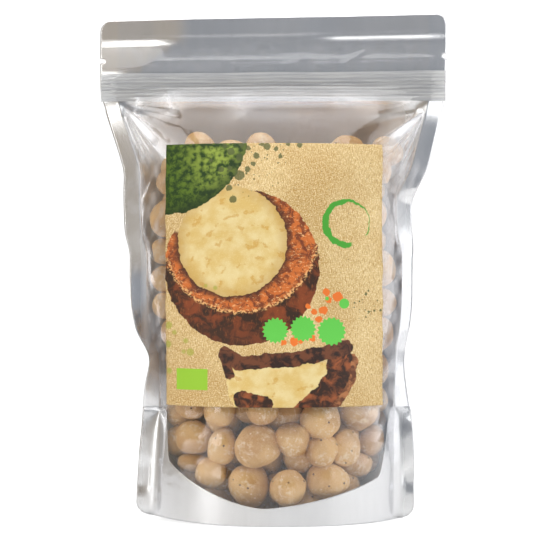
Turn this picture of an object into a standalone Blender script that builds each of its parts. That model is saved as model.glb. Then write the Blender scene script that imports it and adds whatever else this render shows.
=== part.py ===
"""Stand-up zip pouch with a clear front, filled with shelled macadamia kernels.

Metres, +Z up, the clear front faces -Y, and the origin is on the table under the pouch's middle.
Heights below are measured up the standing pouch, and widths across its front.
"""
import math

import bmesh
import bpy
from mathutils import Matrix, Vector

MM = 0.001

# Pouch
HEIGHT = 246 * MM
FLAT_WIDTH = 170 * MM
SIDE_SEAL = 8.5 * MM
INNER_WIDTH = FLAT_WIDTH - 2 * SIDE_SEAL
CORNER_RADIUS = 6 * MM
CORNER_LIFT_LEFT = 5 * MM
CORNER_LIFT_RIGHT = 3.5 * MM
LIFT_FADES_AT = 45 * MM
TOP_LEAN = 0.02
TOP_LEANS_FROM = 190 * MM
FILM = 0.2 * MM
GAP = 0.3 * MM
LAYER = FILM + GAP

# Bottom gusset
GUSSET_FOLD = 55 * MM
SEAL_LOW = 8.6 * MM
SEAL_LOWEST_AT = -0.08
SEAL_RISE_LEFT = 33 * MM
SEAL_RISE_RIGHT = 18 * MM
SEAL_POWER = 1.5
SEAL_TURNS_UP_LEFT = (0.80, 0.90)
SEAL_TURNS_UP_RIGHT = (0.74, 0.92)
FLOOR_FLAT_ACROSS = 0.35
FLOOR_FLAT_ALONG = 0.42
FLOOR_TAUT = 0.35
FLOOR_POWER = 1.35
SKIRT_STEPS = 4
FLOOR_STEPS = 10

# Press-to-close zip and tear notches
ZIP_LOW = 204.5 * MM
ZIP_HIGH = 218.5 * MM
ZIP_RIDGE = 211.5 * MM
ZIP_LENGTH = FLAT_WIDTH - 1 * MM
ZIP_BAND = 0.3 * MM
ZIP_SPREAD = 1.2 * MM
ZIP_OPENS_OVER = 8 * MM
ZIP_CLOSES_OVER = 9 * MM
ZIP_STEM = 0.3 * MM
ZIP_LIP = 0.5 * MM
NOTCH_HEIGHT = 225.5 * MM
NOTCH_DEPTH = 2.4 * MM
NOTCH_HALF = 1.1 * MM
NOTCH_CUT = 12 * MM

# Label
LABEL_LEFT = -51.5 * MM
LABEL_RIGHT = 52.3 * MM
LABEL_LOW = 56.5 * MM
LABEL_HIGH = 182.2 * MM
LABEL_OFF_FILM = 1.0 * MM
LABEL_COLUMNS = 14
LABEL_ROWS = 12

# Stations up the pouch: (height in mm, value). Half-angle of the bulge's arc, in radians.
BULGE = ((0, 1.20), (28, 1.22), (57, 1.28), (78, 1.27), (95, 1.13), (110, 1.09), (155, 1.08), (165, 1.00),
         (173, 0.90), (188, 0.66), (200, 0.38), (206, 0.15), (212, 0.04), (246, 0.02))
# Sideways shift of the bulge's middle, in mm.
SHIFT = ((0, 0.8), (57, 2.0), (78, 2.0), (95, 0.6), (110, 0.6), (128, 0.6), (142, -2.0), (155, -2.4),
         (173, 1.0), (200, 0.2), (246, 0.0))
# Turn of each side seal out of the pouch's middle plane, in degrees: forward is positive.
LEFT_TURN = ((0, 0), (50, 0), (64, 28), (78, 56), (92, 40), (106, 24), (122, 0), (246, 0))
RIGHT_TURN = ((0, 0), (44, 0), (57, -34), (78, -56), (104, -50), (126, -50), (142, -12), (152, 0), (246, 0))

ROWS = (0, 2, 6, 16, 30, 45, 57, 66, 78, 90, 102, 114, 130, 146, 160, 172, 182, 191, 199, 205, 211, 218, 227, 236,
        240, 242.6, 244.8, 246)
ARC_COLUMNS = 16

# Kernels against the front film, front ones first: the middle's place across and up, the length along
# the pointed axis, the breadth, and the lean of that axis from upright, clockwise. Millimetres, degrees.
KERNELS = (
    (-7.8, 37.8, 21.5, 19.6, 80), (22.3, 50.0, 18.8, 18.6, 15), (-38.4, 40.8, 17.8, 15.8, 100),
    (25.4, 20.8, 20.0, 16.4, 95), (-11.6, 18.6, 19.8, 18.8, 170), (6.8, 17.6, 16.8, 16.4, 40),
    (40.7, 53.5, 18.4, 18.0, 60), (-39.5, 57.3, 15.6, 15.0, 20), (13.0, 32.4, 17.0, 15.6, 75),
    (-25.6, 54.8, 16.2, 14.8, 10), (-11.6, 55.6, 15.6, 14.4, 120), (5.4, 52.4, 18.6, 18.0, 200),
    (34.5, 36.0, 16.8, 14.0, 5), (-24.6, 36.8, 17.4, 13.4, 12), (40.2, 27.6, 14.4, 11.6, 90),
    (-38.0, 28.4, 16.4, 9.2, 92), (-24.6, 22.0, 14.0, 12.6, 60), (47.5, 38.6, 14.4, 12.6, 20),
    (49.6, 58.6, 13.2, 12.4, 160), (48.8, 47.9, 12.0, 10.8, 70), (-49.6, 164.6, 14.4, 13.6, 30),
    (-51.6, 146.4, 17.4, 16.2, 8), (-52.2, 130.9, 15.0, 12.8, 95), (-52.4, 117.6, 14.6, 13.0, 80),
    (-52.0, 104.4, 14.2, 12.6, 100), (-47.2, 91.8, 15.2, 14.0, 20), (50.2, 170.4, 14.6, 13.8, 150),
    (46.6, 148.8, 17.8, 16.4, 175), (51.2, 122.0, 17.2, 16.2, 10), (51.6, 106.0, 15.4, 14.4, 95),
    (50.6, 90.4, 16.0, 15.2, 30), (48.4, 73.6, 15.8, 15.0, 5), (44.8, 133.6, 13.8, 12.8, 110),
    (-35.5, 180.2, 15.4, 14.6, 330), (-20.4, 177.0, 15.2, 14.4, 80), (-6.6, 179.2, 17.2, 15.4, 18),
    (36.2, 178.8, 16.6, 15.4, 290),
)
HALF_KERNELS = {15, 18}
KERNEL_TIP = 1.16
KERNEL_BASE = 0.90
KERNEL_SHOULDER = 0.92
HALF_THICKNESS = 0.12
KERNEL_REACH = 1.04
KERNEL_CLEARANCE = 0.5 * MM
KERNEL_STEP = 0.4 * MM
CAGE_GAIN = 1.195

# Bulk of the kernels further in
FILL_HALF_WIDTH = 38 * MM
FILL_LOW = 12 * MM
FILL_HIGH = 165 * MM
FILL_BEHIND_KERNELS = 36 * MM
FILL_BEHIND_LABEL = 3 * MM
FILL_BACK_GAP = 3 * MM
FILL_NARROWING = 16 * MM
FILL_MIN_DEPTH = 2 * MM
FILL_CUTS = 7


def clear_scene():
    """Remove whatever the scene holds."""
    for obj in list(bpy.data.objects):
        bpy.data.objects.remove(obj, do_unlink=True)


def new_collection(name):
    """Make a collection in the scene."""
    collection = bpy.data.collections.new(name)
    bpy.context.scene.collection.children.link(collection)
    return collection


def make_material(name, colour, roughness, metallic=0.0, alpha=1.0):
    """One Principled material."""
    material = bpy.data.materials.new(name)
    material.use_nodes = True
    shader = material.node_tree.nodes["Principled BSDF"]
    shader.inputs["Base Color"].default_value = (*colour, 1.0)
    shader.inputs["Roughness"].default_value = roughness
    shader.inputs["Metallic"].default_value = metallic
    shader.inputs["Alpha"].default_value = alpha
    return material


def add_object(name, mesh, collection, material):
    """Link a mesh as a named, smooth-shaded object with its material."""
    mesh.materials.append(material)
    mesh.shade_smooth()
    mesh.set_sharp_from_angle(angle=math.radians(40))
    obj = bpy.data.objects.new(name, mesh)
    collection.objects.link(obj)
    return obj


def at_height(stations, height):
    """Smooth value at a height in metres, through (height in mm, value) stations, with no overshoot."""
    heights = [station[0] * MM for station in stations]
    values = [station[1] for station in stations]
    rates = [(values[i + 1] - values[i]) / (heights[i + 1] - heights[i]) for i in range(len(values) - 1)]
    slopes = [rates[0]]
    for before, after in zip(rates, rates[1:]):
        slopes.append(2 * before * after / (before + after) if before * after > 0 else 0.0)
    slopes.append(rates[-1])
    height = min(max(height, heights[0]), heights[-1])
    i = min(sum(1 for level in heights if level <= height) - 1, len(rates) - 1)
    span = heights[i + 1] - heights[i]
    t = (height - heights[i]) / span
    start = (1 + 2 * t) * (1 - t) ** 2 * values[i] + t * (1 - t) ** 2 * span * slopes[i]
    end = t * t * (3 - 2 * t) * values[i + 1] + t * t * (t - 1) * span * slopes[i + 1]
    return start + end


def ramp(value, low, high):
    """Smooth step from 0 at low to 1 at high."""
    t = min(max((value - low) / (high - low), 0.0), 1.0)
    return t * t * (3 - 2 * t)


def arc(height):
    """Radius, half-angle and sideways middle of the front film's arc at a height."""
    angle = at_height(BULGE, height)
    return INNER_WIDTH / (2 * angle), angle, at_height(SHIFT, height) * MM


def half_stack(height):
    """How far each film's middle is off the middle plane, in the side seals: the zip holds the films apart."""
    opened = ramp(height, ZIP_LOW - ZIP_OPENS_OVER, ZIP_LOW)
    opened *= 1 - ramp(height, ZIP_HIGH, ZIP_HIGH + ZIP_CLOSES_OVER)
    return LAYER / 2 + ZIP_SPREAD * opened


def film_depth(x, height):
    """Distance of the films from the middle plane, at a place across and up."""
    radius, angle, middle = arc(height)
    across = min(abs(x - middle) / (radius * math.sin(angle)), 1.0)
    turn = math.asin(across * math.sin(angle))
    return radius * (math.cos(turn) - math.cos(angle)) + half_stack(height)


def seal_width(height):
    """Width of the side seal, less its rounded corners."""
    width = SIDE_SEAL
    for beyond in (CORNER_RADIUS - height, height - (HEIGHT - CORNER_RADIUS)):
        if beyond > 0:
            width -= CORNER_RADIUS - math.sqrt(max(CORNER_RADIUS ** 2 - beyond ** 2, 0))
    return width


def standing_height(x, height):
    """Height of a point of film: the side corners lift off the table, and the top edge rises to the right."""
    across = x / (FLAT_WIDTH / 2)
    lift = CORNER_LIFT_LEFT * abs(across) ** 2.2 if x < 0 else CORNER_LIFT_RIGHT * abs(across) ** 5
    fade = 1 - ramp(height, 0, LIFT_FADES_AT)
    lean = TOP_LEAN * x * ramp(height, TOP_LEANS_FROM, HEIGHT)
    return height + lift * fade + lean


def column_across(i):
    """Fraction of the film's inner half-width at a column: columns are closer towards the side seals."""
    even = -1 + 2 * i / ARC_COLUMNS
    return 0.4 * even + 0.6 * math.sin(math.pi / 2 * even)


def film_line(height, side):
    """Points of one film across the pouch at a height: side is -1 for the front and 1 for the back."""
    radius, angle, middle = arc(height)
    reach = radius * math.sin(angle)
    stack = half_stack(height)
    width = seal_width(height)
    points = []
    for end, stations in ((-1, LEFT_TURN), (1, RIGHT_TURN)):
        turn = math.radians(at_height(stations, height))
        along = Vector((end * math.cos(turn), -math.sin(turn)))
        out = Vector((-along.y, along.x)) * (end * side)
        inner = Vector((middle + end * reach, 0)) + out * stack
        points.append([inner, inner + along * width])
    line = [points[0][1], points[0][0]]
    for i in range(1, ARC_COLUMNS):
        across = column_across(i)
        bulge = radius * (math.cos(angle * across) - math.cos(angle))
        line.append(Vector((middle + radius * math.sin(angle * across), side * (bulge + stack))))
    return line + points[1]


def inset_line(line, distance, side):
    """The same line moved in towards the contents by a distance, with mitred corners."""
    normals = []
    for start, end in zip(line, line[1:]):
        along = (end - start).normalized()
        normals.append(Vector((along.y, -along.x)) * side)
    moved = []
    for i, point in enumerate(line):
        before = normals[max(i - 1, 0)]
        after = normals[min(i, len(normals) - 1)]
        moved.append(point + (before + after) * (distance / (1 + before.dot(after))))
    return moved


def sheet(name, grid, thickness, collection, material):
    """A thin sheet through a grid of points, given as rows."""
    rows = len(grid) - 1
    columns = len(grid[0]) - 1
    bm = bmesh.new()
    bmesh.ops.create_grid(bm, x_segments=columns, y_segments=rows, size=1)
    for vert in bm.verts:
        i = round((vert.co.x + 1) / 2 * columns)
        j = round((vert.co.y + 1) / 2 * rows)
        vert.co = grid[j][i]
    mesh = bpy.data.meshes.new(name)
    bm.to_mesh(mesh)
    bm.free()
    obj = add_object(name, mesh, collection, material)
    split = obj.modifiers.new("Same diagonals", "TRIANGULATE")
    split.quad_method = "FIXED"
    solid = obj.modifiers.new("Film", "SOLIDIFY")
    solid.thickness = thickness
    solid.offset = 0
    solid.solidify_mode = "NON_MANIFOLD"
    solid.nonmanifold_thickness_mode = "CONSTRAINTS"
    return obj


def standing(point, height):
    """A point of a film line, put at its standing height."""
    return Vector((point.x, point.y, standing_height(point.x, height)))


def film_panel(name, side, collection, material):
    """Front or back film, from the bottom edge to the top edge."""
    grid = []
    for row in ROWS:
        height = row * MM
        grid.append([standing(point, height) for point in film_line(height, side)])
    return sheet(name, grid, FILM, collection, material)


def notch_cutter(name, place, collection):
    """An elliptical cylinder along Y that cuts a tear notch into both films' edge."""
    bm = bmesh.new()
    bmesh.ops.create_cone(bm, cap_ends=True, segments=24, radius1=1, radius2=1, depth=1)
    bmesh.ops.rotate(bm, matrix=Matrix.Rotation(math.pi / 2, 3, "X"), verts=bm.verts)
    bmesh.ops.scale(bm, vec=(NOTCH_DEPTH, NOTCH_CUT, NOTCH_HALF), verts=bm.verts)
    bmesh.ops.translate(bm, vec=place, verts=bm.verts)
    mesh = bpy.data.meshes.new(name)
    bm.to_mesh(mesh)
    bm.free()
    obj = bpy.data.objects.new(name, mesh)
    obj.hide_render = True
    obj.display_type = "WIRE"
    collection.objects.link(obj)
    return obj


def cut(obj, cutter):
    """Subtract a cutter from an object."""
    boolean = obj.modifiers.new(cutter.name, "BOOLEAN")
    boolean.object = cutter
    boolean.operation = "DIFFERENCE"


def edge_place(end, height):
    """Middle of the side seals' outer edge at a height, on the left (-1) or right (1)."""
    index = 0 if end < 0 else -1
    front = film_line(height, -1)[index]
    back = film_line(height, 1)[index]
    return standing((front + back) / 2, height)


def seal_height(across):
    """Height of the gusset's curved seal at a signed fraction of the film's inner half-width."""
    across = min(max(across, -1.0), 1.0)
    rise = SEAL_RISE_LEFT if across < SEAL_LOWEST_AT else SEAL_RISE_RIGHT
    curve = SEAL_LOW + rise * abs(across - SEAL_LOWEST_AT) ** SEAL_POWER
    turn = ramp(-across, *SEAL_TURNS_UP_LEFT) + ramp(across, *SEAL_TURNS_UP_RIGHT)
    return curve + (GUSSET_FOLD - curve) * turn


def floor_middle(across):
    """Height of the opened gusset's middle line: flat on the table, then rising to the fold."""
    rise = max(abs(across) - FLOOR_FLAT_ALONG, 0) / (1 - FLOOR_FLAT_ALONG)
    return FILM / 2 + (GUSSET_FOLD - FILM / 2) * min(rise, 1.0) ** FLOOR_POWER


def gusset_skirt(side):
    """Rows of the gusset's layer sealed inside one film, from the bottom edge up to the curved seal."""
    rows = []
    for step in range(SKIRT_STEPS + 1):
        row = []
        for i in range(1, ARC_COLUMNS):
            height = seal_height(column_across(i)) * step / SKIRT_STEPS
            line = inset_line(film_line(height, side), LAYER, side)
            row.append(standing(line[i + 1], height))
        rows.append(row)
    return rows


def gusset_floor(front, back):
    """Rows of the gusset between its two curved seals, sagging to the table."""
    rows = []
    for step in range(1, FLOOR_STEPS):
        swing = -1 + 2 * step / FLOOR_STEPS
        row = []
        for i, (start, end) in enumerate(zip(front, back)):
            across = abs(column_across(i + 1))
            level = (start.z + end.z) / 2
            low = min(max(floor_middle(across), level - FLOOR_TAUT * (end.y - start.y) / 2), level)
            flat = FLOOR_FLAT_ACROSS * (1 - across ** 3)
            climb = max(abs(swing) - flat, 0) / (1 - flat)
            place = (start + end) / 2 + (end - start) / 2 * swing
            place.z = low + (level - low) * climb ** (2 - across ** 2)
            row.append(place)
        rows.append(row)
    return rows


def bottom_gusset(collection, material):
    """The W-fold gusset, opened out under the contents, sealed inside both films along a curve."""
    front = gusset_skirt(-1)
    back = gusset_skirt(1)
    grid = front + gusset_floor(front[-1], back[-1]) + back[::-1]
    return sheet("bottom_gusset", grid, FILM, collection, material)


def profile_bar(name, outline, collection, material):
    """A zip strip: its outline across the pouch's thickness and up, drawn out along the zip."""
    curve = bpy.data.curves.new(name, "CURVE")
    curve.dimensions = "2D"
    curve.fill_mode = "BOTH"
    curve.extrude = ZIP_LENGTH / 2
    spline = curve.splines.new("POLY")
    spline.points.add(len(outline) - 1)
    for point, (y, z) in zip(spline.points, outline):
        point.co = (y, z, 0, 1)
    spline.use_cyclic_u = True
    curve.materials.append(material)
    obj = bpy.data.objects.new(name, curve)
    obj.matrix_world = Matrix(((0, 0, 1, 0), (1, 0, 0, 0), (0, 1, 0, ZIP_RIDGE), (0, 0, 0, 1)))
    collection.objects.link(obj)
    return obj


def zip_strips(collection, material):
    """The ridge strip on the back film, pressed into the groove strip on the front film."""
    outer = ZIP_SPREAD + LAYER / 2 - FILM / 2 - GAP
    inner = outer - ZIP_BAND
    low = ZIP_LOW - ZIP_RIDGE
    high = ZIP_HIGH - ZIP_RIDGE
    wall = ZIP_STEM + GAP
    lip = wall + ZIP_LIP
    tip = inner - GAP
    ridge = ((outer, low), (outer, high), (inner, high), (inner, ZIP_STEM), (-tip, ZIP_STEM),
             (-tip, -ZIP_STEM), (inner, -ZIP_STEM), (inner, low))
    groove = ((-outer, low), (-inner, low), (-inner, -lip), (tip, -lip), (tip, -wall), (-inner, -wall),
              (-inner, wall), (tip, wall), (tip, lip), (-inner, lip), (-inner, high), (-outer, high))
    profile_bar("zip_ridge_strip", ridge, collection, material)
    profile_bar("zip_groove_strip", groove, collection, material)


def front_label(collection, material):
    """The paper label on the outside of the front film."""
    grid = []
    for j in range(LABEL_ROWS + 1):
        height = LABEL_LOW + (LABEL_HIGH - LABEL_LOW) * j / LABEL_ROWS
        row = []
        for i in range(LABEL_COLUMNS + 1):
            x = LABEL_LEFT + (LABEL_RIGHT - LABEL_LEFT) * i / LABEL_COLUMNS
            radius, _, middle = arc(height)
            lean = math.asin((x - middle) / radius)
            row.append(Vector((x, -film_depth(x, height) - LABEL_OFF_FILM / math.cos(lean), height)))
        grid.append(row)
    return sheet("label", grid, FILM, collection, material)


def kernel_mesh(name, length, breadth, half):
    """A kernel standing on its flat end, with its point up: a shaped cage and one subdivision."""
    bm = bmesh.new()
    bmesh.ops.create_cube(bm, size=2)
    bmesh.ops.subdivide_edges(bm, edges=bm.edges, cuts=1, use_grid_fill=True)
    for vert in bm.verts:
        co = vert.co.normalized()
        if co.z > 0.9:
            co.z *= KERNEL_TIP
        elif co.z < -0.9:
            co.z *= KERNEL_BASE
        elif co.z > 0.3:
            co.x *= KERNEL_SHOULDER
            co.y *= KERNEL_SHOULDER
        if half and co.y > 0:
            co.y *= HALF_THICKNESS
        vert.co = (co.x * breadth / 2, co.y * breadth / 2, co.z * length / 2)
    bmesh.ops.scale(bm, vec=(CAGE_GAIN, CAGE_GAIN, CAGE_GAIN), verts=bm.verts)
    mesh = bpy.data.meshes.new(name)
    bm.to_mesh(mesh)
    bm.free()
    return mesh


def body_points(length, breadth, lean):
    """Points over a kernel's surface about its middle, for finding its place."""
    turn = Matrix.Rotation(math.radians(lean), 3, "Y")
    points = []
    for i in range(9):
        tilt = math.pi * i / 8
        for j in range(12):
            swing = math.tau * j / 12
            round_about = Vector((math.cos(swing), math.sin(swing))) * math.sin(tilt) * breadth / 2
            points.append(turn @ Vector((*round_about, math.cos(tilt) * length / 2 * KERNEL_REACH)))
    return points


def nearness(points, place, other):
    """How deep the nearest of some points is in another kernel's ellipsoid: below 1 is inside."""
    other_place, length, breadth, lean = other
    back = Matrix.Rotation(-math.radians(lean), 3, "Y")
    closest = 9.0
    for point in points:
        local = back @ (point + place - other_place)
        half = breadth / 2 + KERNEL_CLEARANCE
        tall = length / 2 * KERNEL_REACH + KERNEL_CLEARANCE
        closest = min(closest, math.hypot(local.x / half, local.y / half, local.z / tall))
    return closest


def settle(x, z, length, breadth, lean, placed):
    """Push a kernel forward until it meets the front film or the kernels already there."""
    points = body_points(length, breadth, lean)
    place = Vector((x, 0, z))
    reach = [film_depth(x + point.x, z + point.z) - 2 * KERNEL_CLEARANCE for point in points]
    place.y = max(-depth - point.y for depth, point in zip(reach, points))
    while any(nearness(points, place, other) < 1 for other in placed):
        place.y += KERNEL_STEP
    return place


def front_kernels(collection, material):
    """The kernels that lie against the front film, one object each."""
    placed = []
    for index, (x, z, length, breadth, lean) in enumerate(KERNELS):
        size = (length * MM, breadth * MM)
        place = settle(x * MM, z * MM, *size, lean, placed)
        placed.append((place, *size, lean))
        name = f"kernel_{index + 1:02d}"
        mesh = kernel_mesh(name, *size, index in HALF_KERNELS)
        kernel = add_object(name, mesh, collection, material)
        kernel.location = place
        kernel.rotation_euler = (0, math.radians(lean), 0)
        subsurf = kernel.modifiers.new("Round", "SUBSURF")
        subsurf.levels = 1
        subsurf.render_levels = 1


def kernel_fill(collection, material):
    """One plain solid for the bulk of the kernels, behind the ones at the front."""
    bm = bmesh.new()
    bmesh.ops.create_cube(bm, size=2)
    bmesh.ops.subdivide_edges(bm, edges=bm.edges, cuts=FILL_CUTS, use_grid_fill=True)
    for vert in bm.verts:
        across, through, up = vert.co
        height = FILL_LOW + (FILL_HIGH - FILL_LOW) * (up + 1) / 2
        taper = 0.45 + 0.55 * ramp(height, FILL_LOW, FILL_LOW + 34 * MM)
        taper -= 0.3 * ramp(height, FILL_HIGH - 30 * MM, FILL_HIGH)
        x = FILL_HALF_WIDTH * across * taper
        hidden = ramp(height, LABEL_LOW + 8 * MM, LABEL_LOW + 24 * MM)
        hidden *= 1 - ramp(height, LABEL_HIGH - 38 * MM, LABEL_HIGH - 20 * MM)
        hidden *= 1 - ramp(abs(x), 26 * MM, 38 * MM)
        front_gap = FILL_BEHIND_KERNELS + (FILL_BEHIND_LABEL - FILL_BEHIND_KERNELS) * hidden
        depth = film_depth(x, height)
        back_gap = FILL_BACK_GAP + FILL_NARROWING * (1 - taper)
        front = -max(depth - front_gap, FILL_MIN_DEPTH)
        back = depth - back_gap
        vert.co = (x, front + (back - front) * (through + 1) / 2, height)
    mesh = bpy.data.meshes.new("kernel_fill")
    bm.to_mesh(mesh)
    bm.free()
    return add_object("kernel_fill", mesh, collection, material)


def build():
    """Make the pouch and everything in it."""
    clear_scene()
    parts = new_collection("macadamia_kernel_pouch")
    cutters = new_collection("cutters")
    clear_film = make_material("clear_film", (0.80, 0.78, 0.74), 0.12, alpha=0.25)
    metal_film = make_material("metallised_film", (0.72, 0.73, 0.74), 0.28, metallic=1.0)
    zip_plastic = make_material("zip_plastic", (0.78, 0.78, 0.78), 0.35, alpha=0.6)
    kraft = make_material("kraft_paper", (0.78, 0.62, 0.38), 0.75)
    kernel = make_material("kernel", (0.64, 0.46, 0.27), 0.5)

    front = film_panel("front_panel", -1, parts, clear_film)
    back = film_panel("back_panel", 1, parts, metal_film)
    for end, side_name in ((-1, "left"), (1, "right")):
        notch = notch_cutter(f"tear_notch_{side_name}", edge_place(end, NOTCH_HEIGHT), cutters)
        cut(front, notch)
        cut(back, notch)
    bottom_gusset(parts, metal_film)
    zip_strips(parts, zip_plastic)
    front_label(parts, kraft)
    front_kernels(parts, kernel)
    kernel_fill(parts, kernel)


build()
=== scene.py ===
"""Looks of a stand-up zip pouch of shelled macadamia kernels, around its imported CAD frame.

Metres, +Z up, the clear front faces -Y. The films, gusset, zip and label are thin sheets that follow the
same bulge as the CAD solids, with the folds and crinkles of a filled pouch added.
"""
import math
from functools import reduce
from operator import or_

import bmesh
import bpy
import numpy as np
from mathutils import Matrix, Vector, noise


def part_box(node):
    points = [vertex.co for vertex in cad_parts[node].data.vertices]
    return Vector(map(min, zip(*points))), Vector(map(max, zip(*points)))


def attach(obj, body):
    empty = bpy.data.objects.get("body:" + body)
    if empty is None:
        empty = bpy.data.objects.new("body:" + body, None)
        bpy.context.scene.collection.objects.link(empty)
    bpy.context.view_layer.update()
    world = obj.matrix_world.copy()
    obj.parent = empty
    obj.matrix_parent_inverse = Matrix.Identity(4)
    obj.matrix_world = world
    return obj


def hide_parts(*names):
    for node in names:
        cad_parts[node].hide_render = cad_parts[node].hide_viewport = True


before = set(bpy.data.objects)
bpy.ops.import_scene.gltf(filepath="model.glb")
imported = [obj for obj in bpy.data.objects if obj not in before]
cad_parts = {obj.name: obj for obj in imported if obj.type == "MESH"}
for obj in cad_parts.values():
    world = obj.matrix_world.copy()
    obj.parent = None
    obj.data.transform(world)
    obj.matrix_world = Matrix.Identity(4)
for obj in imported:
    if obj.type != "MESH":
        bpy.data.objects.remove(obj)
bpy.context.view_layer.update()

MM = 0.001

# The pouch's shape, as in the CAD model. Stations are (height in mm, value): the arc's half-angle in
# radians, the sideways shift of its middle in mm, and each side seal's turn in degrees.
HEIGHT = 246 * MM
FLAT_WIDTH = 170 * MM
SIDE_SEAL = 8.5 * MM
INNER_WIDTH = FLAT_WIDTH - 2 * SIDE_SEAL
CORNER_RADIUS = 6 * MM
CORNER_LIFT_LEFT = 5 * MM
CORNER_LIFT_RIGHT = 3.5 * MM
LIFT_FADES_AT = 45 * MM
TOP_LEAN = 0.02
TOP_LEANS_FROM = 190 * MM
BULGE = ((0, 1.2), (28, 1.22), (57, 1.28), (78, 1.27), (95, 1.13), (110, 1.09), (155, 1.08), (165, 1.0),
         (173, 0.9), (188, 0.66), (200, 0.37), (207, 0.11), (213, 0.03), (246, 0.02))
SHIFT = ((0, 0.8), (57, 2.0), (78, 2.0), (95, 0.6), (110, 0.6), (128, 0.6), (142, -2.0), (155, -2.4),
         (173, 1.0), (200, 0.2), (246, 0.0))
LEFT_TURN = ((0, 0), (50, 0), (64, 28), (78, 56), (92, 40), (106, 20), (126, -5), (150, -8), (166, -8),
             (182, -15), (200, -23), (213, -6), (246, -2))
RIGHT_TURN = ((0, 0), (44, 0), (57, -34), (78, -56), (104, -50), (126, -50), (142, -24), (154, -20),
              (162, 0), (172, -6), (190, -16), (202, -26), (214, -12), (246, -2))

# Bottom gusset: places across are fractions of the film's half-width, from its middle
GUSSET_FOLD = 55 * MM
SEAL_LOW = 8.6 * MM
SEAL_LOWEST_AT = -0.08
SEAL_RISE_LEFT = 33 * MM
SEAL_RISE_RIGHT = 18 * MM
SEAL_POWER = 1.5
SEAL_TURNS_UP_LEFT = (0.8, 0.9)
SEAL_TURNS_UP_RIGHT = (0.74, 0.92)
SEAM_EASED_BELOW = (40 * MM, 54 * MM)
SEAM_EASED_OVER = 11
SEAM_PASSES = 120
FLOOR_FLAT_ACROSS = 0.35
FLOOR_FLAT_ALONG = 0.42
FLOOR_TAUT = 0.35
FLOOR_POWER = 1.35
FLOOR_WRINKLE = 0.35 * MM

# Zip, seals and score line
ZIP_LOW = 204.5 * MM
ZIP_HIGH = 218.5 * MM
ZIP_RIDGE = 211.5 * MM
ZIP_SPREAD = 1.2 * MM
ZIP_OPENS_OVER = 8 * MM
ZIP_CLOSES_OVER = 14 * MM
RIB_SPACING = 2.3 * MM
TOP_SEAL = 237.2 * MM
SCORE_HEIGHT = 225.0 * MM
NOTCH_HEIGHT = 225.5 * MM
NOTCH_DEPTH = 2.4 * MM
NOTCH_HALF = 1.1 * MM

# Sheets
FILM = 0.12 * MM
LAYER = 0.2 * MM
PAPER = 0.12 * MM
LABEL_GAP = 0.12 * MM
INNER_COLUMNS = 168
SEAL_COLUMNS = 9
ROW_BANDS = ((0, 60, 62), (60, 180, 96), (180, 246, 96))

# Kernels: those in front press on the film, and those further in settle behind them
KERNEL_PRESS = 0.55 * MM
KERNEL_SWELL = (1.12, 1.0, 1.12)
INNER_KERNELS = 228
INNER_STARTS = ((-60, 60), (-30, 34), (25, 178))
INNER_RADII = (7.6, 9.0)
SETTLING_STEPS = 260
CLEAR_OF_FILM = 1.8 * MM
CLEAR_OF_FLOOR = 1.2 * MM
FILL_TOP = 182 * MM

# Where the back film shows kernels and not the empty top: it is duller there
DULLED_ACROSS = (0.06, 0.066)
DULLED_BELOW = (0.196, 0.206)

# The side seals' points in mm where the fans of facets below the zip start
LEFT_APEX = (-74.5, 203)
RIGHT_APEX = (75.7, 201)


# Fans of facets below the ends of the zip: (degrees below level, height in mm) stations
LEFT_FAN = (
    (-8, 0), (2, 0.5), (6, 1.0), (15, -1.0), (22, 0.1), (34, 0), (42, -0.4), (52, 2.0), (56, 0.5),
    (60, 1.0), (63, 0), (66, 0.6), (69, -0.3), (73, 0.4), (78, 0),
)
RIGHT_FAN = (
    (-6, 0), (4, 0.4), (20, 0), (35, -0.3), (48, 1.9), (52, 0.2), (57, 0.9), (60, 0), (63, 0.9), (66, -0.6),
    (74, -0.9), (79, 0),
)
# The same for the painted highlight on the front film there, white film that stands in for glare on the
# facets: (degrees below level, share) stations
LEFT_GLARE_STREAKS = (
    (34, 0), (40, 0.5), (46, 0.95), (52, 0.95), (54, 0.25), (57, 0.55), (59, 0.2), (62, 0.55), (65, 0.2),
    (68, 0.45), (71, 0.1), (75, 0.2), (79, 0),
)
RIGHT_GLARE_STREAKS = (
    (32, 0), (37, 0.7), (43, 1.0), (48, 0.9), (50, 0.2), (55, 0.45), (59, 0.12), (62, 0.65), (65, 0.1),
    (72, 0),
)
# Single folds: x and z of start and end, height (or share of painted highlight) and width, all in mm
GLARE_STREAKS = (
    (-52, 207, -48, 197, 0.45, 3.0), (-66, 206, -68, 197, 0.35, 1.0), (30, 204, 52, 201, 0.15, 3.0),
    (-20, 206, -14, 196, 0.12, 4.0), (66, 158, 70, 172, 0.25, 1.0), (-64, 148, -66, 172, 0.2, 1.2),
)
FRONT_CREASES = (
    (-53, 212, -51, 206, 0.3, 1.2), (-52, 206, -47, 197, 0.12, 3.5), (-68, 210, -66, 202, 0.25, 0.8),
    (-66, 202, -62.5, 199, 0.25, 0.8), (-62.5, 199, -61, 203, 0.2, 0.8), (-58, 197, -46, 192, -0.25, 5.0),
    (34, 222, 46, 229, 0.2, 0.7), (4, 221, 18, 226, 0.2, 4.0), (37, 206, 40, 197, 0.25, 1.2),
    (62, 166, 66, 172, 0.6, 0.7), (-66, 152, -61, 160, 0.5, 0.9), (-61, 160, -58, 168, 0.4, 0.8),
    (-68, 128, -63, 150, 0.4, 1.0), (-64, 60, -62, 88, 0.5, 1.2), (58, 66, 60, 44, 0.6, 1.4),
    (57, 120, 60, 148, 0.4, 1.2), (-60, 30, -56, 54, 0.5, 1.5),
)
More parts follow.
